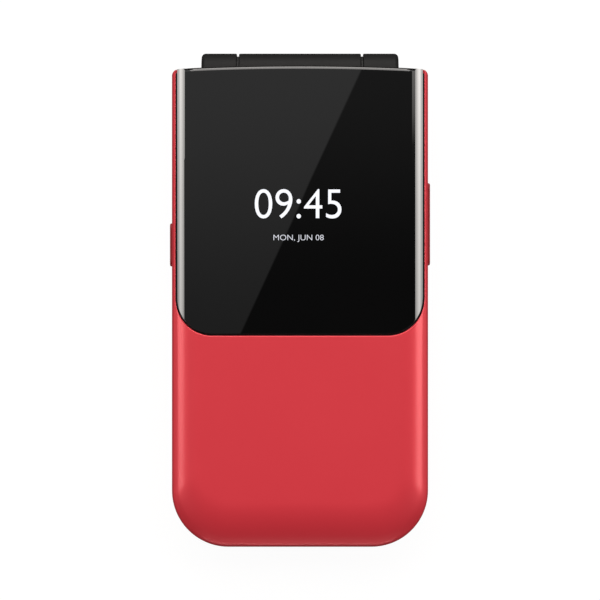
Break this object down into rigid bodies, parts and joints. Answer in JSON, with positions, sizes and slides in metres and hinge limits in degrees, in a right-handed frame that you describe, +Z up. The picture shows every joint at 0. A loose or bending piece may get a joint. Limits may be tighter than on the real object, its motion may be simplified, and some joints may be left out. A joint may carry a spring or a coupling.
{
  "type": "flip phone",
  "caption": "Clamshell mobile phone with a hinged lid, side-curved gloss panel over an outer display, pressable keypad and side keys, camera and removable battery cover.",
  "frame": {"origin": "middle of the bounding box, at the level of the back face, phone closed", "axes": "+Z up through the lid, +Y towards the hinge end, +X towards the volume key"},
  "size_m": [0.0554, 0.1048, 0.0187],
  "materials": {
    "red_plastic": "satin",
    "gloss_black": "gloss",
    "display_glass": "gloss",
    "grey_plastic": "matte",
    "circuit_board": "satin",
    "black_plastic": "matte",
    "battery_label": "satin",
    "gold_contact": "bright",
    "steel": "brushed",
    "white_plastic": "satin",
    "rubber": "matte",
    "flex_film": "satin",
    "dome_film": "satin",
    "silver_plastic": "satin",
    "key_plastic": "satin"
  },
  "bodies": {
    "base": {"keypad_frame": "grey_plastic", "rear_housing": "red_plastic", "battery_cover": "red_plastic", "battery": "battery_label", "battery_contacts": "gold_contact", "main_board": "circuit_board", "dome_sheet": "dome_film", "shield_can": "steel", "sim_holder": "steel", "side_switches": "steel", "camera_module": "black_plastic", "camera_window": "gloss_black", "flash_led": "white_plastic", "loudspeaker": "black_plastic", "speaker_mesh": "steel", "vibration_motor": "steel", "charging_socket": "steel", "headset_jack": "black_plastic", "microphone": "gold_contact", "antenna": "flex_film", "base_screws": "steel", "hinge_shaft": "steel", "hinge_sleeve": "white_plastic", "base_flex": "flex_film"},
    "lid": {"lid_shell": "red_plastic", "lid_panel": "gloss_black", "outer_display": "display_glass", "lid_board": "circuit_board", "main_display": "display_glass", "display_window": "gloss_black", "lid_bezel": "grey_plastic", "earpiece": "black_plastic", "earpiece_mesh": "steel", "lid_bumpers": "rubber", "lid_magnet": "steel", "lid_screws": "steel", "hinge_cartridge": "steel", "hinge_spring": "steel", "lid_flex": "flex_film"},
    "key_1": {"key_1": "key_plastic"},
    "key_2": {"key_2": "key_plastic"},
    "key_3": {"key_3": "key_plastic"},
    "key_4": {"key_4": "key_plastic"},
    "key_5": {"key_5": "key_plastic"},
    "key_6": {"key_6": "key_plastic"},
    "key_7": {"key_7": "key_plastic"},
    "key_8": {"key_8": "key_plastic"},
    "key_9": {"key_9": "key_plastic"},
    "key_star": {"key_star": "key_plastic"},
    "key_0": {"key_0": "key_plastic"},
    "key_hash": {"key_hash": "key_plastic"},
    "soft_key_left": {"soft_key_left": "key_plastic"},
    "soft_key_right": {"soft_key_right": "key_plastic"},
    "call_key": {"call_key": "key_plastic"},
    "clear_key": {"clear_key": "key_plastic"},
    "end_key": {"end_key": "key_plastic"},
    "navigation_ring": {"navigation_ring": "silver_plastic"},
    "centre_key": {"centre_key": "silver_plastic"},
    "volume_key": {"volume_key": "red_plastic"},
    "emergency_key": {"emergency_key": "red_plastic"}
  },
  "joints": [
    {"name": "lid_hinge", "type": "hinge", "parent": "base", "child": "lid", "pos_m": [0, 0.0478, 0.0128], "axis": [-1, 0, 0], "range_deg": [0, 160]},
    {"name": "key_1_press", "type": "slide", "parent": "base", "child": "key_1", "axis": [0, 0, -1], "range_m": [0, 0.0003], "stiffness_N_per_m": 500},
    {"name": "key_2_press", "type": "slide", "parent": "base", "child": "key_2", "axis": [0, 0, -1], "range_m": [0, 0.0003], "stiffness_N_per_m": 500},
    {"name": "key_3_press", "type": "slide", "parent": "base", "child": "key_3", "axis": [0, 0, -1], "range_m": [0, 0.0003], "stiffness_N_per_m": 500},
    {"name": "key_4_press", "type": "slide", "parent": "base", "child": "key_4", "axis": [0, 0, -1], "range_m": [0, 0.0003], "stiffness_N_per_m": 500},
    {"name": "key_5_press", "type": "slide", "parent": "base", "child": "key_5", "axis": [0, 0, -1], "range_m": [0, 0.0003], "stiffness_N_per_m": 500},
    {"name": "key_6_press", "type": "slide", "parent": "base", "child": "key_6", "axis": [0, 0, -1], "range_m": [0, 0.0003], "stiffness_N_per_m": 500},
    {"name": "key_7_press", "type": "slide", "parent": "base", "child": "key_7", "axis": [0, 0, -1], "range_m": [0, 0.0003], "stiffness_N_per_m": 500},
    {"name": "key_8_press", "type": "slide", "parent": "base", "child": "key_8", "axis": [0, 0, -1], "range_m": [0, 0.0003], "stiffness_N_per_m": 500},
    {"name": "key_9_press", "type": "slide", "parent": "base", "child": "key_9", "axis": [0, 0, -1], "range_m": [0, 0.0003], "stiffness_N_per_m": 500},
    {"name": "key_star_press", "type": "slide", "parent": "base", "child": "key_star", "axis": [0, 0, -1], "range_m": [0, 0.0003], "stiffness_N_per_m": 500},
    {"name": "key_0_press", "type": "slide", "parent": "base", "child": "key_0", "axis": [0, 0, -1], "range_m": [0, 0.0003], "stiffness_N_per_m": 500},
    {"name": "key_hash_press", "type": "slide", "parent": "base", "child": "key_hash", "axis": [0, 0, -1], "range_m": [0, 0.0003], "stiffness_N_per_m": 500},
    {"name": "soft_key_left_press", "type": "slide", "parent": "base", "child": "soft_key_left", "axis": [0, 0, -1], "range_m": [0, 0.0003], "stiffness_N_per_m": 500},
    {"name": "soft_key_right_press", "type": "slide", "parent": "base", "child": "soft_key_right", "axis": [0, 0, -1], "range_m": [0, 0.0003], "stiffness_N_per_m": 500},
    {"name": "call_key_press", "type": "slide", "parent": "base", "child": "call_key", "axis": [0, 0, -1], "range_m": [0, 0.0003], "stiffness_N_per_m": 500},
    {"name": "clear_key_press", "type": "slide", "parent": "base", "child": "clear_key", "axis": [0, 0, -1], "range_m": [0, 0.0003], "stiffness_N_per_m": 500},
    {"name": "end_key_press", "type": "slide", "parent": "base", "child": "end_key", "axis": [0, 0, -1], "range_m": [0, 0.0003], "stiffness_N_per_m": 500},
    {"name": "navigation_ring_press", "type": "slide", "parent": "base", "child": "navigation_ring", "axis": [0, 0, -1], "range_m": [0, 0.0003], "stiffness_N_per_m": 500},
    {"name": "centre_key_press", "type": "slide", "parent": "base", "child": "centre_key", "axis": [0, 0, -1], "range_m": [0, 0.0003], "stiffness_N_per_m": 500},
    {"name": "volume_key_press", "type": "slide", "parent": "base", "child": "volume_key", "axis": [-1, 0, 0], "range_m": [0, 0.00025], "stiffness_N_per_m": 800},
    {"name": "emergency_key_press", "type": "slide", "parent": "base", "child": "emergency_key", "axis": [1, 0, 0], "range_m": [0, 0.00025], "stiffness_N_per_m": 800}
  ]
}
